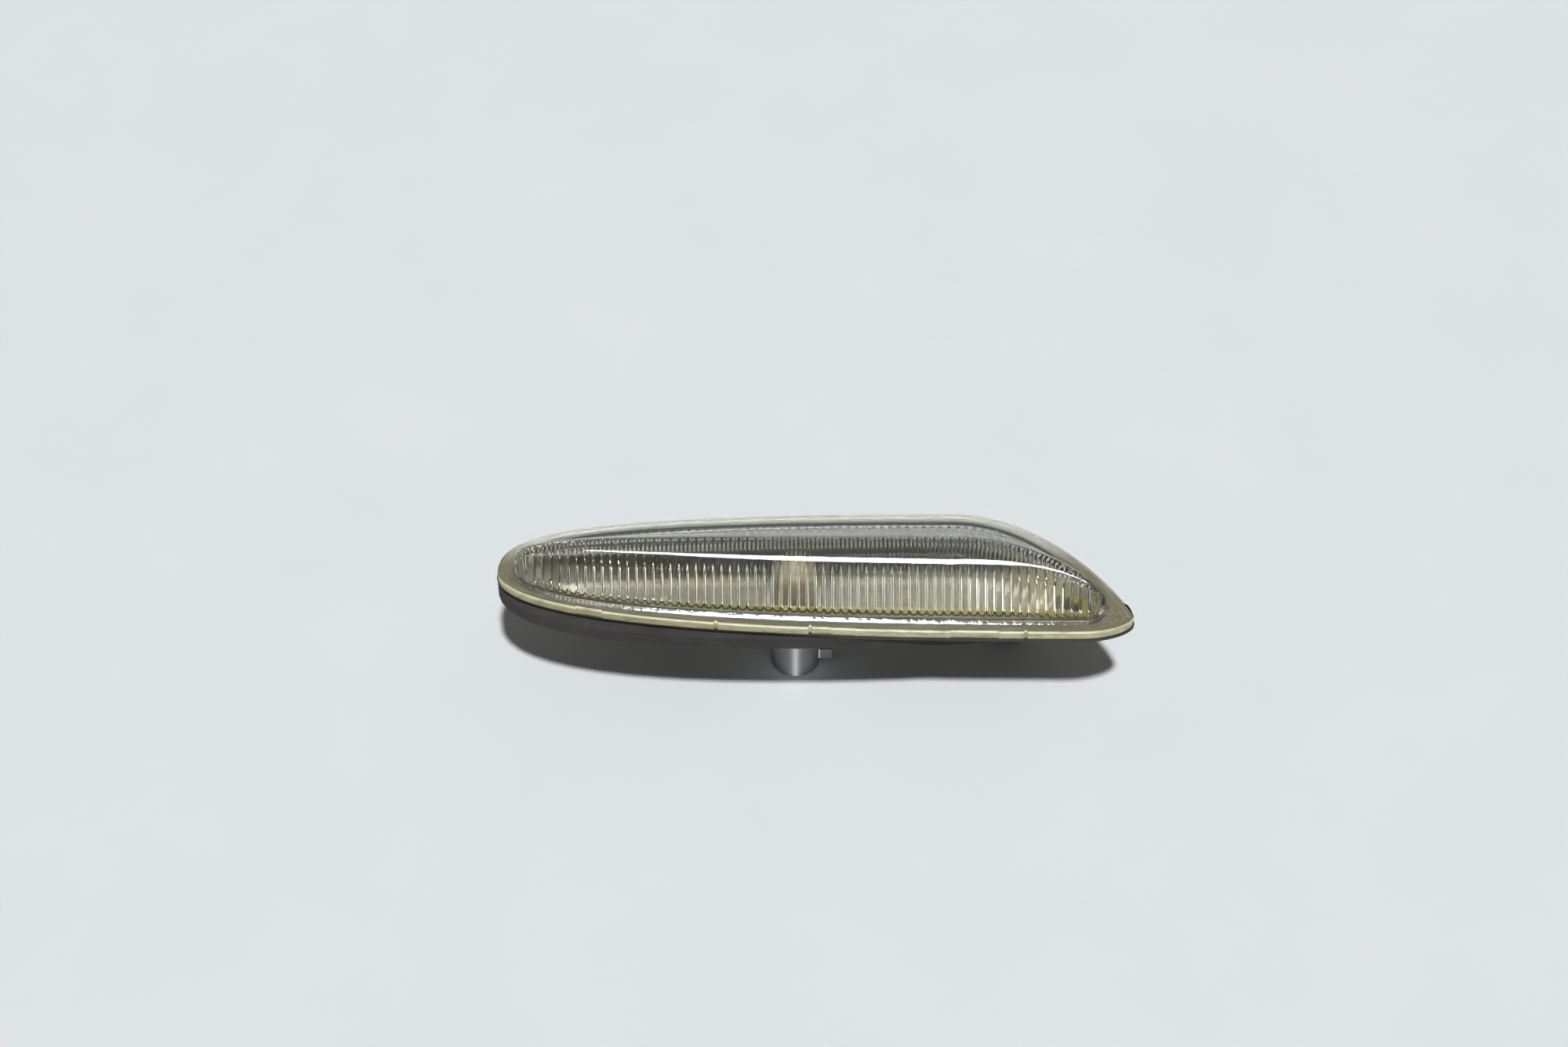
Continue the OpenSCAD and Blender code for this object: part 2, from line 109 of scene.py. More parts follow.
def collection():
    """The scene's own collection."""
    return bpy.context.scene.collection


# Node helpers

# Place of a new colour stop before it gets its own
NEW_STOP = 0.5


def new_material(name):
    """Empty material with its node tree and its one shader."""
    mat = bpy.data.materials.new(name)
    mat.use_nodes = True
    tree = mat.node_tree
    tree.nodes.clear()
    out = tree.nodes.new("ShaderNodeOutputMaterial")
    shader = tree.nodes.new("ShaderNodeBsdfPrincipled")
    tree.links.new(shader.outputs[0], out.inputs[0])
    return mat, tree, shader


def add(tree, kind, **values):
    """New node with some of its properties set."""
    node = tree.nodes.new(kind)
    for key, value in values.items():
        setattr(node, key, value)
    return node


def settle(node, **values):
    """Constants set straight on a node's sockets; _ stands for a space in their names."""
    for key, value in values.items():
        node.inputs[key.replace("_", " ")].default_value = value


def noise_node(tree, scale, detail=4.0, rough=0.55, stretch=(1, 1, 1)):
    """Noise in a piece's own space, in metres."""
    coord = add(tree, "ShaderNodeTexCoord")
    mapping = add(tree, "ShaderNodeMapping")
    settle(mapping, Scale=stretch)
    tex = add(tree, "ShaderNodeTexNoise")
    settle(tex, Scale=scale, Detail=detail, Roughness=rough)
    tree.links.new(coord.outputs["Object"], mapping.inputs[0])
    tree.links.new(mapping.outputs[0], tex.inputs["Vector"])
    return tex


def ramp(tree, source, stops):
    """Colours at their places along a value."""
    node = add(tree, "ShaderNodeValToRGB")
    tree.links.new(source, node.inputs[0])
    while len(node.color_ramp.elements) < len(stops):
        node.color_ramp.elements.new(NEW_STOP)
    for element, (place, colour) in zip(node.color_ramp.elements, stops):
        element.position = place
        element.color = (*colour, 1)
    return node


def bump(tree, shader, height, strength, distance):
    """Fine relief of a shader's surface, its distance in metres."""
    node = add(tree, "ShaderNodeBump")
    settle(node, Strength=strength, Distance=distance)
    tree.links.new(height, node.inputs["Height"])
    tree.links.new(node.outputs[0], shader.inputs["Normal"])
    return node


# Outline curves, the same as in the part's source

def loop(nose, side, tip):
    """Four Bezier curves of the outline, drawn in at the nose, the long sides and the tip."""
    left, right = -BODY_L / 2 + nose, BODY_L / 2 - tip
    near, far = -BODY_W / 2 + side, BODY_W / 2 - side
    point = TIP_Y + tip * TIP_RISE
    share = (far - near) / BODY_W
    crest = min(CREST_X, right - CREST_CLEAR)
    keel = min(KEEL_X, right - KEEL_CLEAR)
    return [
        [(left, NOSE_Y), (left, NOSE_Y + NOSE_UP * share),
         (crest - CREST_BACK * (crest - left), far), (crest, far)],
        [(crest, far), (crest + CREST_FWD * (right - crest), far), (right, point + TIP_UP), (right, point)],
        [(right, point), (right, point - TIP_DOWN), (keel + KEEL_FWD * (right - keel), near), (keel, near)],
        [(keel, near), (keel - KEEL_BACK * (keel - left), near),
         (left, NOSE_Y - NOSE_DOWN * share), (left, NOSE_Y)],
    ]


def on_curve(curve, t):
    """Point of a Bezier curve at t."""
    start, first, second, end = curve
    s = 1 - t
    a, b, c, d = s ** 3, 3 * s * s * t, 3 * s * t * t, t ** 3
    return (a * start[0] + b * first[0] + c * second[0] + d * end[0],
            a * start[1] + b * first[1] + c * second[1] + d * end[1])


def at_x(curve, x):
    """Y of a curve where it passes x."""
    low, high = 0.0, 1.0
    rising = curve[3][0] > curve[0][0]
    for _ in range(HALVINGS):
        mid = (low + high) / 2
        if (on_curve(curve, mid)[0] < x) == rising:
            low = mid
        else:
            high = mid
    return on_curve(curve, (low + high) / 2)[1]


def ends(curves):
    """Left and right end of an outline."""
    return curves[0][0][0], curves[1][3][0]


def within(curves, x):
    """Whether x lies between an outline's ends."""
    left, right = ends(curves)
    return left < x < right


def span(curves, x):
    """The near and the far edge of an outline at x, or its end point beyond its ends."""
    left, right = ends(curves)
    x = min(max(x, left), right)
    far = at_x(curves[0] if x < curves[0][3][0] else curves[1], x)
    near = at_x(curves[2] if x > curves[2][3][0] else curves[3], x)
    return near, far


def half_width(curves, x):
    """Half the distance between the edges of an outline at x."""
    near, far = span(curves, x)
    return (far - near) / 2


def smooth(t):
    """Soft step from 0 to 1."""
    t = min(max(t, 0.0), 1.0)
    return t * t * (3 - 2 * t)


# The lens: one closed skin over stations along its length

# Wall of the dome at its foot
FOOT_WALL = 1.1
EDGE = loop(RIM_PROUD, RIM_PROUD, RIM_PROUD)
FOOT_INSETS = (RIM_PROUD + FLANGE_NOSE, RIM_PROUD + FLANGE_W, RIM_PROUD + FLANGE_TIP)
FOOT = loop(*FOOT_INSETS)
HOLLOW = loop(*[v + FOOT_WALL for v in FOOT_INSETS])
HOLLOW_LEFT, HOLLOW_RIGHT = ends(HOLLOW)
# Worn bevel of the flange: width, drop, and its rounding as shares of both
BEVEL_W = 0.45
BEVEL_DROP = 0.22
BEVEL_SOFT = (0.3, 0.4)
# Most of the bevel, as a share of the lens's width
BEVEL_ROOM = 0.25
# Upright step at the dome's foot, and its least share at the dome's ends
FOOT_STEP = 0.4
STEP_LEAST = 0.2
# Flat crown and its rounding, as shares of the half width
CROWN_SHARE = 0.16
CROWN_SOFT = 0.12
# Bead round the dome's foot: width, height, fall, strips, and its most as shares of the flange and the dome
BEAD_W = 1.0
BEAD_H = 0.55
BEAD_FALL = 0.03
BEAD_STRIPS = 5
BEAD_ROOM = 0.6
BEAD_RISE = 0.5
# Groove between the bead and the dome, whose black faces are painted shade for the gap there
GROOVE = 0.4
# Gap between the lens and the rim below it
UNDER_GAP = 0.05
# Steps and chips of the near edge: from, to and depth
EDGE_STEPS = [(-48.3, -43.0, 0.25), (-20.2, -19.6, 0.4), (-1.1, -0.5, 0.55), (-0.5, 3.2, 0.22),
              (3.2, 8.2, 0.1), (27.6, 37.2, 0.16), (42.4, 43.0, 0.35)]
# Strips across the dome outside and inside, and stations for each flute
OUTER_ACROSS = 40
INNER_ACROSS = 34
PER_FLUTE = 12
# Stations in the flange's end, in the foot's wall and in the plain run before the first flute
END_STATIONS = 12
WALL_STATIONS = 10
PLAIN_STATIONS = 8
PLAIN_RUN = 1.0
# Least distances from an outline's end and between two stations
NUDGE = 0.002
STATION_GAP = 0.02
# Share of the section that tall ribs take on each flank, and the run of their round ends at the foot
FLANK_SHARE = 0.33
FOOT_RUN = 0.9
# Fine ribs at half the pitch: depth, least share on the flanks, and where they start to grow
FINE_DEPTH = 0.26
FINE_LEAST = 0.35
FINE_FROM = 0.6
# The ribs fade over this run at the hollow's ends, and where the hollow's half width is under FADE_HALF
FADE_RUN = 1.2
FADE_HALF = 2
LEAST_RISE = 0.2
# Distance of the rows of points that keep the flat faces flat
SUPPORT = 0.05
FOOT_MID = half_width(FOOT, CREST_X)


def crown(half):
    """Share of the dome's height where the foot has a given half width."""
    return math.sqrt(max(0.0, 1 - (1 - min(1.0, half / FOOT_MID)) ** 2))


def eased(a, b, count):
    """Places from a to b, closer together near a."""
    return [a + (b - a) * (i / count) ** 2 for i in range(count)]


def lens_stations():
    """Places along the length, close together at the ends and even over the flutes."""
    edge_left, edge_right = ends(EDGE)
    foot_left, foot_right = ends(FOOT)
    first = HOLLOW_LEFT + PLAIN_RUN
    last = HOLLOW_RIGHT - PLAIN_RUN
    xs = eased(edge_left + NUDGE, foot_left, END_STATIONS)
    xs += eased(foot_left + NUDGE, HOLLOW_LEFT, WALL_STATIONS)
    xs += eased(HOLLOW_LEFT + NUDGE, first, PLAIN_STATIONS)
    step = FLUTE_PITCH / PER_FLUTE
    xs += [first + i * step for i in range(int((last - first) / step) + 1)]
    xs += sorted(eased(HOLLOW_RIGHT - NUDGE, max(last, xs[-1] + STATION_GAP), PLAIN_STATIONS))
    xs += sorted(eased(foot_right - NUDGE, HOLLOW_RIGHT, WALL_STATIONS))
    xs += sorted(eased(edge_right - NUDGE, foot_right, END_STATIONS))
    return xs


def flute(x, run, length):
    """Relief of the hollow side: tall ribs up both flanks with round ends, fine ribs in the crown."""
    place = (x - HOLLOW_LEFT) / FLUTE_PITCH
    from_foot = min(run, length - run)
    u = 2 * (place % 1.0) - 1
    past = max(0.0, from_foot - FLANK_SHARE * length) / (FLUTE_PITCH / 2)
    short = max(0.0, 1 - from_foot / FOOT_RUN)
    tall = FLUTE_DEPTH * math.sqrt(max(0.0, 1 - u * u - past * past - short * short))
    v = 2 * ((2 * place) % 1.0) - 1
    growth = FINE_LEAST + (1 - FINE_LEAST) * smooth(past - FINE_FROM)
    return tall + FINE_DEPTH * math.sqrt(max(0.0, 1 - v * v)) * growth


def shoulder(u):
    """Slope that sets in softly at the crown's edge."""
    return (math.sqrt((u - CROWN_SHARE) ** 2 + CROWN_SOFT ** 2) + u - CROWN_SHARE) / 2


def profile(u):
    """Relative height at a share u of the half width: flat crown, soft shoulder, even flank."""
    return 1 - (shoulder(abs(u)) - shoulder(0)) / (shoulder(1) - shoulder(0))


def edge_step(x):
    """Depth of the near edge's steps and chips at x."""
    return max([depth for low, high, depth in EDGE_STEPS if low <= x <= high], default=0.0)


def step_height(share):
    """Upright step at the dome's foot, lower towards the dome's ends."""
    return FOOT_STEP * min(1.0, share + STEP_LEAST)


def across(count):
    """Shares of the half width from 1 to -1, closer together at both."""
    return [math.cos(math.pi * i / count) for i in range(count + 1)]


def flange_half(near, foot, bevel, bead):
    """Section of the near flange, from its lower edge over the bevel to the bead."""
    drop = BEVEL_DROP * bevel / BEVEL_W
    soft_y, soft_z = BEVEL_SOFT
    return [(near, RIM_TOP + UNDER_GAP), (near, RIM_TOP + FLANGE_T / 2), (near, LENS_TOP - drop),
            (near + bevel * soft_y, LENS_TOP - drop * soft_z), (near + bevel, LENS_TOP),
            (near + bevel + SUPPORT, LENS_TOP), (foot - bead - SUPPORT, LENS_TOP)]


def bead_half(bead, tall):
    """Section of the bead: distances from its outer side and heights."""
    fall = BEAD_FALL / BEAD_H
    shares = [i / BEAD_STRIPS for i in range(BEAD_STRIPS + 1)]
    return [(bead * t, LENS_TOP + tall * (t * (1 + fall) - fall * t * t)) for t in shares]


def outer_path(x):
    """Skin from the near lower edge over the dome to the far lower edge."""
    near, far = span(EDGE, x)
    near += edge_step(x)
    foot_n, foot_f = span(FOOT, x)
    inside = within(FOOT, x)
    bevel = min(BEVEL_W, (far - near) * BEVEL_ROOM)
    if not inside:
        foot_n = foot_f = min(max((foot_n + foot_f) / 2, near + bevel), far - bevel)
    half = (foot_f - foot_n) / 2
    rise = DOME_H * crown(half) if inside else 0.0
    low = step_height(crown(half)) if inside else 0.0
    bead = min(BEAD_W, max(0.0, foot_n - near - bevel) * BEAD_ROOM)
    left = flange_half(near, foot_n, bevel, bead)
    right = [(far - y + near, z) for y, z in reversed(left[:-1])]
    right.insert(0, (foot_f + bead + SUPPORT, LENS_TOP))
    for y, z in bead_half(bead, min(BEAD_H, rise * BEAD_RISE)):
        left.append((foot_n - bead + y, z))
        right.insert(0, (foot_f + bead - y, z))
    reach = half - GROOVE if inside else 0.0
    middle = [(foot_n + half - reach * u, LENS_TOP + low + max(0.0, rise - low) * profile(u))
              for u in across(OUTER_ACROSS)]
    return [(x, y, z) for y, z in left + middle + right]


def inner_path(x):
    """Hollow side from the far lower edge under the dome to the near lower edge."""
    near, far = span(EDGE, x)
    in_n, in_f = span(HOLLOW, x)
    under = RIM_TOP + UNDER_GAP
    if not within(HOLLOW, x):
        return [(x, min(max((in_n + in_f) / 2, near), far), under)] * (INNER_ACROSS + 3)
    half = (in_f - in_n) / 2
    share = crown(half_width(FOOT, x))
    low = step_height(share)
    rise = max(LEAST_RISE, (DOME_H - LENS_WALL) * share - low)
    fade = smooth((x - HOLLOW_LEFT) / FADE_RUN) * smooth((HOLLOW_RIGHT - x) / FADE_RUN)
    plain = [(in_f - half + half * u, LENS_TOP + low + rise * profile(u)) for u in across(INNER_ACROSS)]
    pts = []
    for i, (y, z) in enumerate(plain):
        y0, z0 = plain[max(i - 1, 0)]
        y1, z1 = plain[min(i + 1, INNER_ACROSS)]
        run = math.hypot(y1 - y0, z1 - z0) or 1.0
        out = flute(x, y - in_n, in_f - in_n) * fade * min(1.0, half / FADE_HALF)
        pts.append((y + (z0 - z1) / run * out, z - (y0 - y1) / run * out))
    pts = [(pts[0][0], under)] + pts + [(pts[-1][0], under)]
    return [(x, y, z) for y, z in pts]


# Points nearer than MERGE become one, and edges shorter than SLIVER are taken out, in metres
MERGE = 2e-7
SLIVER = 1e-7


def mesh_object(name, verts, faces, materials, slots=None, flat_angle=35):
    """Closed solid from points in millimetres, smooth up to an angle, with its faces turned outwards."""
    mesh = bpy.data.meshes.new(name)
    mesh.from_pydata([Vector(v) * MM for v in verts], [], faces)
    for mat in materials:
        mesh.materials.append(mat)
    if slots:
        mesh.polygons.foreach_set("material_index", slots)
    bm = bmesh.new()
    bm.from_mesh(mesh)
    bmesh.ops.remove_doubles(bm, verts=bm.verts, dist=MERGE)
    bmesh.ops.dissolve_degenerate(bm, dist=SLIVER, edges=bm.edges)
    bmesh.ops.recalc_face_normals(bm, faces=bm.faces)
    if bm.calc_volume(signed=True) < 0:
        bmesh.ops.reverse_faces(bm, faces=bm.faces)
    limit = math.radians(flat_angle)
    for edge in bm.edges:
        edge.smooth = len(edge.link_faces) != 2 or edge.calc_face_angle(0) < limit
    for face in bm.faces:
        face.smooth = True
    bm.to_mesh(mesh)
    bm.free()
    obj = bpy.data.objects.new(name, mesh)
    collection().objects.link(obj)
    return obj


def band(i, n):
    """Faces between row i of n points and the next row, all the way round."""
    here, after = i * n, (i + 1) * n
    return [(here + j, here + (j + 1) % n, after + (j + 1) % n, after + j) for j in range(n)]


def caps(count, n):
    """End faces of a skin over count rows of n points."""
    last = (count - 1) * n
    return [tuple(range(n)), tuple(last + j for j in reversed(range(n)))]


# Material slots of the lens, in the order of its materials
CLEAR, NEAR_EDGE, FAR_EDGE, PAINTED_SHADE_LINE, BEAD = range(5)
# Strips counted from the lens's edge: the edge and its bevel, the bead, then the groove
EDGE_STRIPS = range(4)
BEAD_STRIPS_AT = range(7, 12)
GROOVE_STRIP = 12


def band_slot(j, outer):
    """Material of strip j where the outer skin has a given number of points."""
    back = outer - 2 - j
    if j in EDGE_STRIPS:
        return NEAR_EDGE
    if back in EDGE_STRIPS:
        return FAR_EDGE
    # The groove's strip is black: painted shade at the dome's foot
    if GROOVE_STRIP in (j, back):
        return PAINTED_SHADE_LINE
    if j in BEAD_STRIPS_AT or back in BEAD_STRIPS_AT:
        return BEAD
    return CLEAR


def build_lens(materials):
    """Lens with a smooth dome and ribs on its hollow side."""
    rows = [outer_path(x) + inner_path(x) for x in lens_stations()]
    n = len(rows[0])
    outer = len(outer_path(0))
    verts = [p for row in rows for p in row]
    faces = []
    slots = []
    for i in range(len(rows) - 1):
        faces += band(i, n)
        slots += [band_slot(j, outer) for j in range(n)]
    faces += caps(len(rows), n)
    slots += [CLEAR, CLEAR]
    return mesh_object("clear_lens", verts, faces, materials, slots)


# Bowl of the reflector: a brim on the rim and a curved trough with a bore for the bulb

# Gap between the brim and the lens's wall, and the brim's height over the rim
BRIM_CLEAR = 0.6
BRIM_H = 0.4
BRIM_TOP = RIM_TOP + BRIM_H
BRIM = loop(*[v + LENS_WALL + BRIM_CLEAR for v in FOOT_INSETS])
# Insets of the trough's mouth from the rim's edge
MOUTH_SIDE = 8.1
MOUTH_TIP = 10.5
MOUTH = loop(MOUTH_SIDE, MOUTH_SIDE, MOUTH_TIP)
# Least width of the brim, its depth below its top, and the gap between its under side and the rim
BRIM_LEAST = 0.1
BRIM_DEPTH = 0.1
BRIM_GAP = 0.02
# Lowest height of the trough, thickness of its skin and strips across it
BOWL_LOW = 20.0
BOWL_SKIN = 0.7
BOWL_ACROSS = 36
# Ribs of the trough, and the powers of the trough's section and of the ribs' fading towards its edges
BOWL_RIB = 0.42
TROUGH_POWER = 2.6
RIB_POWER = 6
# Stations of the brim's ends, distance from its ends, and stations for each flute
BRIM_STATIONS = 8
BRIM_NUDGE = 0.01
BOWL_PER_FLUTE = 12
BOWL_FLAT_ANGLE = 60
# Place of the bulb along the length, radius of the bore round it and of the holder's collar below it
BULB_X = -3.7
BORE_R = 6.7
COLLAR_R = 5.1
MOUTH_MID = half_width(MOUTH, CREST_X)


def bowl_path(x):
    """Section of the bowl at x: the bright face from near to far, then its under side back."""
    near, far = span(BRIM, x)
    low, high = span(MOUTH, x)
    inside = within(MOUTH, x)
    if not inside:
        low = high = min(max((low + high) / 2, near + BRIM_LEAST), far - BRIM_LEAST)
    middle, half = (low + high) / 2, (high - low) / 2
    share = min(1.0, half / MOUTH_MID)
    depth = (BRIM_TOP - BOWL_LOW) * math.sqrt(max(0.0, 1 - (1 - share) ** 2)) if inside else 0.0
    rib = BOWL_RIB * share * (1 - math.cos(2 * math.pi * (x - HOLLOW_LEFT) / FLUTE_PITCH)) / 2
    pts = [(near, BRIM_TOP)]
    for i in range(BOWL_ACROSS + 1):
        u = 2 * i / BOWL_ACROSS - 1
        trough = depth * (1 - abs(u) ** TROUGH_POWER) - rib * (1 - abs(u) ** RIB_POWER)
        pts.append((middle + u * half, BRIM_TOP - trough))
    pts.append((far, BRIM_TOP))
    under = [(y, max(z - BOWL_SKIN, RIM_TOP + BRIM_GAP) if z > BRIM_TOP - BRIM_DEPTH else z - BOWL_SKIN)
             for y, z in reversed(pts)]
    return [(x, y, z) for y, z in pts + under]


def bored_loft(rows, x, y, radius):
    """Skin over rows of points, with the cells inside a bore left out and its wall closed."""
    n = len(rows[0])
    cells = n // 2 - 1
    verts = [p for row in rows for p in row]

    def gone(i, j):
        if not (0 <= i < len(rows) - 1 and 0 <= j < cells):
            return False
        ax, ay, _ = rows[i][j]
        bx, by, _ = rows[i + 1][j + 1]
        return math.hypot((ax + bx) / 2 - x, (ay + by) / 2 - y) < radius

    faces = []
    for i in range(len(rows) - 1):
        a, b = i * n, (i + 1) * n
        for j, face in enumerate(band(i, n)):
            if not (gone(i, j) or j > cells and gone(i, n - 2 - j)):
                faces.append(face)
        for j in range(cells):
            if not gone(i, j):
                continue
            if not gone(i, j - 1):
                faces.append((a + j, b + j, b + n - 1 - j, a + n - 1 - j))
            if not gone(i, j + 1):
                faces.append((a + j + 1, a + n - 2 - j, b + n - 2 - j, b + j + 1))
            if not gone(i - 1, j):
                faces.append((a + j, a + n - 1 - j, a + n - 2 - j, a + j + 1))
            if not gone(i + 1, j):
                faces.append((b + j, b + j + 1, b + n - 2 - j, b + n - 1 - j))
    return verts, faces + caps(len(rows), n)


def build_bowl(material):
    """Reflector with its brim, ribbed trough and bore."""
    brim_left, brim_right = ends(BRIM)
    left, right = ends(MOUTH)
    count = int((right - left) / FLUTE_PITCH * BOWL_PER_FLUTE)
    length = right - left - 2 * BRIM_NUDGE
    xs = eased(brim_left + BRIM_NUDGE, left, BRIM_STATIONS)
    xs += [left + BRIM_NUDGE + i * length / count for i in range(count + 1)]
    xs += sorted(eased(brim_right - BRIM_NUDGE, right, BRIM_STATIONS))
    verts, faces = bored_loft([bowl_path(x) for x in xs], BULB_X, 0, BORE_R)
    return mesh_object("bowl", verts, faces, [material], flat_angle=BOWL_FLAT_ANGLE)


# Weld film on the rim, seen through the clear flange, with a black line of painted shade round the dome's
# foot

# Inset of the film from the lens's edge and its height over the rim
FILM_EDGE = 0.05
FILM_OVER = 0.02
# Shares of the flange where the film has rows of points
FILM_ROWS = (0.35, 0.7)
# Black line of painted shade: distance from the dome's foot and width, then the film's inner edge past the
# lens's wall
LINE_AT = 0.2
LINE_W = 0.7
FILM_PAST = 0.5
# Material slot of each band, from the rim's edge inwards; slot 1 is the black line of painted shade
FILM_SLOTS = [0, 0, 0, 1, 2]
# Points on each curve of an outline
FILM_POINTS = 110


def film_loops():
    """Outlines between the film's bands, from the rim's edge to the inside of the lens."""
    loops = [loop(*[RIM_PROUD + FILM_EDGE] * 3)]
    for share in FILM_ROWS:
        loops.append(loop(*[RIM_PROUD + v * share for v in (FLANGE_NOSE, FLANGE_W, FLANGE_TIP)]))
    for past in (LINE_AT, LINE_AT + LINE_W, LENS_WALL + FILM_PAST):
        loops.append(loop(*[v + past for v in FOOT_INSETS]))
    return loops


def ring_points(curves):
    """Points round an outline, the same number on each of its curves."""
    return [on_curve(c, i / FILM_POINTS) for c in curves for i in range(FILM_POINTS)]


def build_film(materials):
    """Flat film whose texture runs along the outline."""
    rings = [ring_points(c) for c in film_loops()]
    n = len(rings[0])
    verts = [(x, y, RIM_TOP + FILM_OVER) for ring in rings for x, y in ring]
    mesh = bpy.data.meshes.new("weld_film")
    faces = [face for i in range(len(rings) - 1) for face in band(i, n)]
    mesh.from_pydata([Vector(v) * MM for v in verts], [], faces)
    for mat in materials:
        mesh.materials.append(mat)
    mesh.polygons.foreach_set("material_index", [slot for slot in FILM_SLOTS for _ in range(n)])
    layer = mesh.uv_layers.new(name="along")
    for poly in mesh.polygons:
        i, j = divmod(poly.index, n)
        corners = [(i, j), (i, j + 1), (i + 1, j + 1), (i + 1, j)]
        for loop_index, (row, run) in zip(poly.loop_indices, corners):
            layer.data[loop_index].uv = (run / n, row / len(rings))
    obj = bpy.data.objects.new("weld_film", mesh)
    collection().objects.link(obj)
    return obj


# Materials

ACRYLIC_IOR = 1.49
LENS_TINT = (0.95, 0.935, 0.87, 1)
SHADOW_TINT = (0.9, 0.91, 0.88, 1)
# Roughness of the lens: clean places and scuffs
SCUFFS = [(0.5, (0.008,) * 3), (0.8, (0.05,) * 3)]
# Depths of the finest relief, in metres
WAVE_DEPTH = 0.00006
WEAR_DEPTH = 0.0002
GRAIN_DEPTH = 0.00005
MARK_DEPTH = 0.00003
FROST = [(0.3, (0.8, 0.79, 0.68)), (0.7, (0.93, 0.92, 0.84))]
YELLOWED = [(0.3, (0.27, 0.24, 0.12)), (0.45, (0.5, 0.47, 0.28)), (0.65, (0.64, 0.62, 0.42))]
HAZE = [(0.3, (0.035, 0.03, 0.021)), (0.5, (0.071, 0.065, 0.049)), (0.7, (0.12, 0.112, 0.092))]
# Paler colour on the far side, a painted reflection of the bright table, and the run along Y over which it
# sets in
FAR_PAINTED_REFLECTION = (0.15, 0.155, 0.155, 1)
FAR_REFLECTION_RUN = (3, 9)
# Streaks of the haze along the outline and across it
HAZE_STREAKS = (30, 26, 1)
# Colours of the bowl along Y: yellow near brim, bright middle, and a dark far wall that is painted shade for
# the dark reflection seen there
BOWL_RUN = (-10, 10)
METALLISED_WITH_PAINTED_SHADE = [(0.22, (0.84, 0.77, 0.32)), (0.33, (0.8, 0.77, 0.64)),
              (0.6, (0.76, 0.75, 0.71)), (0.76, (0.15, 0.16, 0.155))]
# Places of the two tones of a plain material along its noise
TONES = (0.35, 0.7)
# The holder's shine falls over this run outside the collar's wall, so the lug beside it is dull
DULL_RUN = (0.05, 0.25)
SHINE = (0.85, 0.1)
# Low tone, high tone and roughness of the plain pieces, then their grain and its strength, or a stretch
# Black of the line at the dome's foot, painted shade
SHADE_LINE_TONES = ((0.006, 0.006, 0.006), (0.012, 0.012, 0.012), 0.6)
BLACK = ((0.012, 0.012, 0.012), (0.03, 0.03, 0.03), 0.45)
FOAM = ((0.03, 0.027, 0.026), (0.055, 0.05, 0.047), 0.95, 1800, 0.7)
AMBER = ((0.07, 0.06, 0.04), (0.11, 0.1, 0.07), 0.6, 900, 0.1)
GREY = ((0.2, 0.205, 0.215), (0.25, 0.26, 0.27), 0.42, 1200, 0.06)
RUBBER = ((0.015, 0.015, 0.015), (0.03, 0.03, 0.03), 0.7)
TUNGSTEN = ((0.25, 0.25, 0.27), (0.4, 0.4, 0.42), 0.35)
WIRE = ((0.55, 0.52, 0.48), (0.7, 0.68, 0.64), 0.3)
BRASS = ((0.62, 0.5, 0.26), (0.75, 0.62, 0.35), 0.3)
STEEL = ((0.45, 0.46, 0.47), (0.6, 0.61, 0.62), 0.28, (0.2, 1, 1))
# Waves of the clear lens and of its bead: grain and strength
CLEAR_WAVES = (420, 0.04)
BEAD_WAVES = (900, 0.5)


def along_y(tree, run):
    """Value that goes from 0 to 1 along Y, over a run in millimetres."""
    coord = add(tree, "ShaderNodeTexCoord")
    parts = add(tree, "ShaderNodeSeparateXYZ")
    value = add(tree, "ShaderNodeMapRange")
    settle(value, From_Min=run[0] * MM, From_Max=run[1] * MM)
    tree.links.new(coord.outputs["Object"], parts.inputs[0])
    tree.links.new(parts.outputs["Y"], value.inputs["Value"])
    return value.outputs[0]


def lens_material(name, grain, strength):
    """Clear plastic with faint waves and scuffs, which lets light through to the inside of the lamp."""
    mat, tree, shader = new_material(name)
    settle(shader, Base_Color=LENS_TINT, Transmission_Weight=1.0, IOR=ACRYLIC_IOR)
    scuffs = noise_node(tree, 900, detail=3.0, rough=0.6, stretch=(1, 0.3, 1))
    rough = ramp(tree, scuffs.outputs["Fac"], SCUFFS)
    tree.links.new(rough.outputs[0], shader.inputs["Roughness"])
    waves = noise_node(tree, grain, detail=2.0, rough=0.5, stretch=(1, 0.6, 1))
    bump(tree, shader, waves.outputs["Fac"], strength, WAVE_DEPTH)
    path = add(tree, "ShaderNodeLightPath")
    clear = add(tree, "ShaderNodeBsdfTransparent")
    settle(clear, Color=SHADOW_TINT)
    mix = add(tree, "ShaderNodeMixShader")
    out = next(n for n in tree.nodes if n.type == "OUTPUT_MATERIAL")
    tree.links.new(path.outputs["Is Shadow Ray"], mix.inputs[0])
    tree.links.new(shader.outputs[0], mix.inputs[1])
    tree.links.new(clear.outputs[0], mix.inputs[2])
    tree.links.new(mix.outputs[0], out.inputs[0])
    return mat


def toned_material(name, stops, scale, **values):
    """Material whose colour follows a noise of a given scale and further values."""
    mat, tree, shader = new_material(name)
    noise = noise_node(tree, scale, **values)
    colour = ramp(tree, noise.outputs["Fac"], stops)
    tree.links.new(colour.outputs[0], shader.inputs["Base Color"])
    return mat, tree, shader, noise.outputs["Fac"]


def frosted_material():
    """Rough see-through plastic of the far edge."""
    mat, tree, shader, _ = toned_material("frosted_edge", FROST, 260, detail=5.0, rough=0.6)
    settle(shader, Transmission_Weight=1.0, IOR=ACRYLIC_IOR, Roughness=0.45)
    return mat


def lens_edge_material():
    """Worn and yellowed plastic of the near edge."""
    mat, tree, shader, tone = toned_material("yellowed_edge", YELLOWED, 700, detail=5.0, rough=0.7,
                                             stretch=(0.35, 1, 1.6))
    settle(shader, Roughness=0.35)
    bump(tree, shader, tone, strength=0.3, distance=WEAR_DEPTH)
    return mat


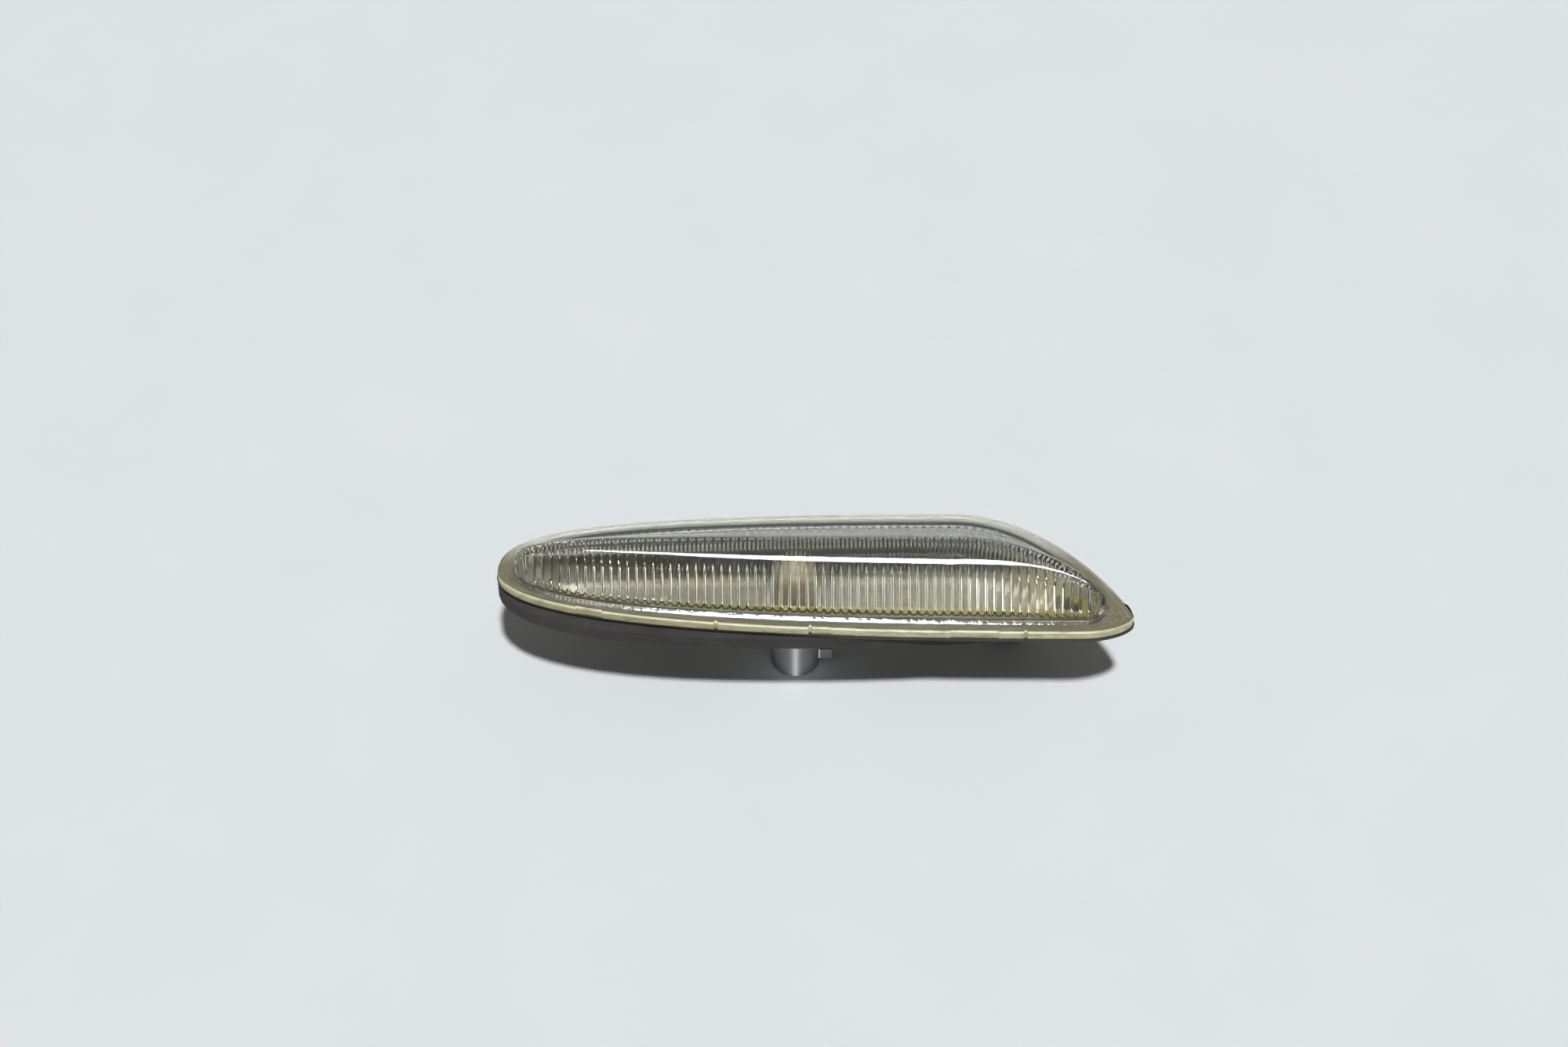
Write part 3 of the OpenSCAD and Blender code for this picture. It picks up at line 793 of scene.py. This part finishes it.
def film_material():
    """Hazy, slightly yellow weld face with fine streaks that follow the outline, paler on the far side as a
    painted reflection of the bright table.
    """
    mat, tree, shader = new_material("weld_haze_and_painted_reflection")
    uv = add(tree, "ShaderNodeUVMap")
    mapping = add(tree, "ShaderNodeMapping")
    settle(mapping, Scale=HAZE_STREAKS)
    tex = add(tree, "ShaderNodeTexNoise")
    settle(tex, Scale=1.0, Detail=6.0, Roughness=0.65)
    tree.links.new(uv.outputs[0], mapping.inputs[0])
    tree.links.new(mapping.outputs[0], tex.inputs["Vector"])
    colour = ramp(tree, tex.outputs["Fac"], HAZE)
    # Paler towards the far side: painted reflection of the bright table
    mixed = add(tree, "ShaderNodeMix", data_type="RGBA")
    mixed.inputs[7].default_value = FAR_PAINTED_REFLECTION
    tree.links.new(colour.outputs[0], mixed.inputs[6])
    tree.links.new(along_y(tree, FAR_REFLECTION_RUN), mixed.inputs[0])
    tree.links.new(mixed.outputs[2], shader.inputs["Base Color"])
    settle(shader, Roughness=0.5, Specular_IOR_Level=0.05)
    return mat


def plastic_material(name, low, high, rough, grain=1400, strength=0.15):
    """Opaque plastic, foam or rubber between two tones, with a fine grain."""
    mat, tree, shader, _ = toned_material(name, list(zip(TONES, (low, high))), 90)
    settle(shader, Roughness=rough)
    fine = noise_node(tree, grain, detail=2.0)
    bump(tree, shader, fine.outputs["Fac"], strength, GRAIN_DEPTH)
    return mat


def metal_material(name, low, high, rough, stretch=(1, 1, 1)):
    """Metal between two tones, with marks that can be stretched along an axis."""
    mat, tree, shader, tone = toned_material(name, list(zip(TONES, (low, high))), 300, rough=0.6,
                                             stretch=stretch)
    settle(shader, Metallic=1.0, Roughness=rough)
    bump(tree, shader, tone, strength=0.1, distance=MARK_DEPTH)
    return mat


def bowl_material():
    """Bright metallised face, yellow towards the near brim and darkened on the far wall as painted shade."""
    mat, tree, shader = new_material("metallised")
    # The ramp's dark far end is painted shade on the far wall
    colour = ramp(tree, along_y(tree, BOWL_RUN), METALLISED_WITH_PAINTED_SHADE)
    tree.links.new(colour.outputs[0], shader.inputs["Base Color"])
    settle(shader, Metallic=0.88, Roughness=0.08)
    return mat


def holder_material():
    """Satin grey plastic whose upright drawing marks stretch the light along its height."""
    mat = plastic_material("grey_plastic", *GREY)
    tree = mat.node_tree
    shader = next(n for n in tree.nodes if n.type == "BSDF_PRINCIPLED")
    tangent = add(tree, "ShaderNodeTangent", direction_type="RADIAL", axis="Z")
    tree.links.new(tangent.outputs[0], shader.inputs["Tangent"])
    settle(shader, Anisotropic=0.9, Anisotropic_Rotation=0.25)
    coord = add(tree, "ShaderNodeTexCoord")
    centred = add(tree, "ShaderNodeVectorMath", operation="SUBTRACT")
    centred.inputs[1].default_value = (BULB_X * MM, 0, 0)
    level = add(tree, "ShaderNodeVectorMath", operation="MULTIPLY")
    level.inputs[1].default_value = (1, 1, 0)
    reach = add(tree, "ShaderNodeVectorMath", operation="LENGTH")
    shine = add(tree, "ShaderNodeMapRange")
    settle(shine, From_Min=(COLLAR_R + DULL_RUN[0]) * MM, From_Max=(COLLAR_R + DULL_RUN[1]) * MM,
           To_Min=SHINE[0], To_Max=SHINE[1])
    tree.links.new(coord.outputs["Object"], centred.inputs[0])
    tree.links.new(centred.outputs[0], level.inputs[0])
    tree.links.new(level.outputs[0], reach.inputs[0])
    tree.links.new(reach.outputs["Value"], shine.inputs["Value"])
    tree.links.new(shine.outputs[0], shader.inputs["Specular IOR Level"])
    return mat


def dress(node, mat):
    """Give all slots of one of the frame's nodes a material."""
    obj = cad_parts[node]
    if not obj.material_slots:
        obj.data.materials.append(mat)
    for slot in obj.material_slots:
        slot.link = "OBJECT"
        slot.material = mat


# Stage: table, camera and lights

TABLE_HALF = 2.0
TABLE_TONES = [(0.3, (0.74, 0.78, 0.81)), (0.7, (0.77, 0.805, 0.83))]
CLIP_START = 0.01
WHITE = (1.0, 1.0, 1.0)
WARM = (1.0, 0.97, 0.86)
WORLD_STRENGTH = 0.055
# Suns: name, strength, angle across in degrees, turns about X and Y in degrees, colour
KEY = ("key", 3.0, 3.6, (23, 3.2), WHITE)
FILL = ("fill", 0.25, 120, (0, 0), WARM)
# Lights in reflections: name, rise over the back horizon in degrees, size, watts, colour, place along X
SOFTBOX = ("softbox", 110, (0.34, 0.17), 4.2, (0.82, 0.91, 1.0), -0.06)
PANEL = ("panel", 113, (0.7, 0.4), 0.18, WHITE, 0.01)
BARS = [("bar_left", 113, (0.15, 0.7), 2.4, WHITE, -0.3),
        ("bar_right", 113, (0.15, 0.7), 1.7, (1.0, 0.93, 0.6), 0.32)]
FRONT = ("front", 155, (0.25, 0.25), 41, (0.95, 0.98, 1.0), 0.01)


def build_floor():
    """Plain pale table."""
    mesh = bpy.data.meshes.new("table")
    signs = [(-1, -1), (1, -1), (1, 1), (-1, 1)]
    mesh.from_pydata([(x * TABLE_HALF, y * TABLE_HALF, 0) for x, y in signs], [], [(0, 1, 2, 3)])
    mat, _, shader, _ = toned_material("pale_table", TABLE_TONES, 25, detail=5.0)
    settle(shader, Roughness=0.32, Specular_IOR_Level=0.5)
    mesh.materials.append(mat)
    obj = bpy.data.objects.new("table", mesh)
    collection().objects.link(obj)


def build_camera():
    """Camera that sees AIM_POINT at AIM_PX, at MM_PER_PX there."""
    data = bpy.data.cameras.new("camera")
    data.lens = FOCAL
    data.sensor_width = SENSOR
    data.sensor_fit = "HORIZONTAL"
    data.clip_start = CLIP_START
    cam = bpy.data.objects.new("camera", data)
    collection().objects.link(cam)
    focal_px = FOCAL / SENSOR * PHOTO_W
    forward = Vector((0, math.cos(ELEVATION), -math.sin(ELEVATION)))
    upward = Vector((0, math.sin(ELEVATION), math.cos(ELEVATION)))
    ray = (forward + Vector((1, 0, 0)) * (AIM_PX[0] - PHOTO_W / 2) / focal_px
           - upward * (AIM_PX[1] - PHOTO_H / 2) / focal_px)
    cam.location = (AIM_POINT - ray * MM_PER_PX * focal_px) * MM
    cam.rotation_euler = (math.pi / 2 - ELEVATION, 0, 0)
    bpy.context.scene.camera = cam


def sun_light(name, strength, angle, turns, colour):
    """Distant light over the whole table, not seen through the clear lens."""
    data = bpy.data.lights.new(name, "SUN")
    data.energy = strength
    data.angle = math.radians(angle)
    data.color = colour
    obj = bpy.data.objects.new(name, data)
    obj.rotation_euler = (math.radians(turns[0]), math.radians(turns[1]), 0)
    obj.visible_transmission = False
    collection().objects.link(obj)
    return obj


def glossy_light(name, rise, size, energy, colour, side):
    """Oval light a metre away, seen in reflections only, square to the line to the lamp."""
    data = bpy.data.lights.new(name, "AREA")
    data.shape = "ELLIPSE"
    data.size, data.size_y = size
    data.energy = energy
    data.color = colour
    obj = bpy.data.objects.new(name, data)
    angle = math.radians(rise)
    obj.location = (side, math.cos(angle), math.sin(angle))
    obj.rotation_euler = (angle - math.pi / 2, 0, 0)
    obj.visible_diffuse = False
    obj.visible_transmission = False
    collection().objects.link(obj)
    return obj


def receivers(name, node, state="INCLUDE"):
    """Collection that holds one node, for lights that reach only it or leave it out."""
    group = bpy.data.collections.new(name)
    group.objects.link(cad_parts[node])
    group.collection_objects[0].light_linking.link_state = state
    return group


def build_lights():
    """Soft studio light, with lights for the long highlight, for the ribs and for the holder."""
    sun_light(*KEY)
    sun_light(*FILL).visible_glossy = False
    softbox = glossy_light(*SOFTBOX)
    panel = glossy_light(*PANEL)
    panel.visible_transmission = True
    for values in BARS:
        bar = glossy_light(*values)
        bar.visible_glossy = False
        bar.visible_transmission = True
    shaded = receivers("bulb_in_shade", "bulb_glass", "EXCLUDE")
    for light in (softbox, panel):
        light.light_linking.receiver_collection = shaded
    glossy_light(*FRONT).light_linking.receiver_collection = receivers("lit_by_front", "bulb_holder")
    world = bpy.data.worlds.new("studio")
    world.use_nodes = True
    bpy.context.scene.world = world
    settle(world.node_tree.nodes["Background"], Color=(*WARM, 1), Strength=WORLD_STRENGTH)


def build_pieces():
    """Lens, bowl and film in place of the plain solids or beside them."""
    # Black line of painted shade at the dome's foot, in the groove and in the film
    black = plastic_material("painted_shade_line", *SHADE_LINE_TONES)
    lens = build_lens([lens_material("clear_plastic", *CLEAR_WAVES), lens_edge_material(), frosted_material(),
                       black, lens_material("clear_bead", *BEAD_WAVES)])
    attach(lens, "root")
    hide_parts("outer_lens")
    bowl = build_bowl(bowl_material())
    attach(bowl, "root")
    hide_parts("reflector")
    film = build_film([film_material(), black, film_material()])
    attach(film, "root")


def dress_nodes():
    """Finishes of the solids that keep their shape."""
    dress("housing", plastic_material("black_plastic", *BLACK))
    dress("flange_gasket", plastic_material("foam", *FOAM))
    dress("bulb_glass", plastic_material("frosted_amber_glass", *AMBER))
    dress("bulb_filament", metal_material("tungsten", *TUNGSTEN))
    dress("bulb_lead_wires", metal_material("lead_wire", *WIRE))
    dress("bulb_holder", holder_material())
    dress("holder_seal", plastic_material("soft_rubber", *RUBBER))
    dress("contact_left", metal_material("brass", *BRASS))
    dress("contact_right", metal_material("brass_right", *BRASS))
    dress("spring_clip", metal_material("spring_steel", *STEEL))


def main():
    """Stage, pieces and finishes."""
    bpy.context.scene.view_settings.view_transform = "Standard"
    build_camera()
    build_lights()
    build_floor()
    build_pieces()
    dress_nodes()


main()
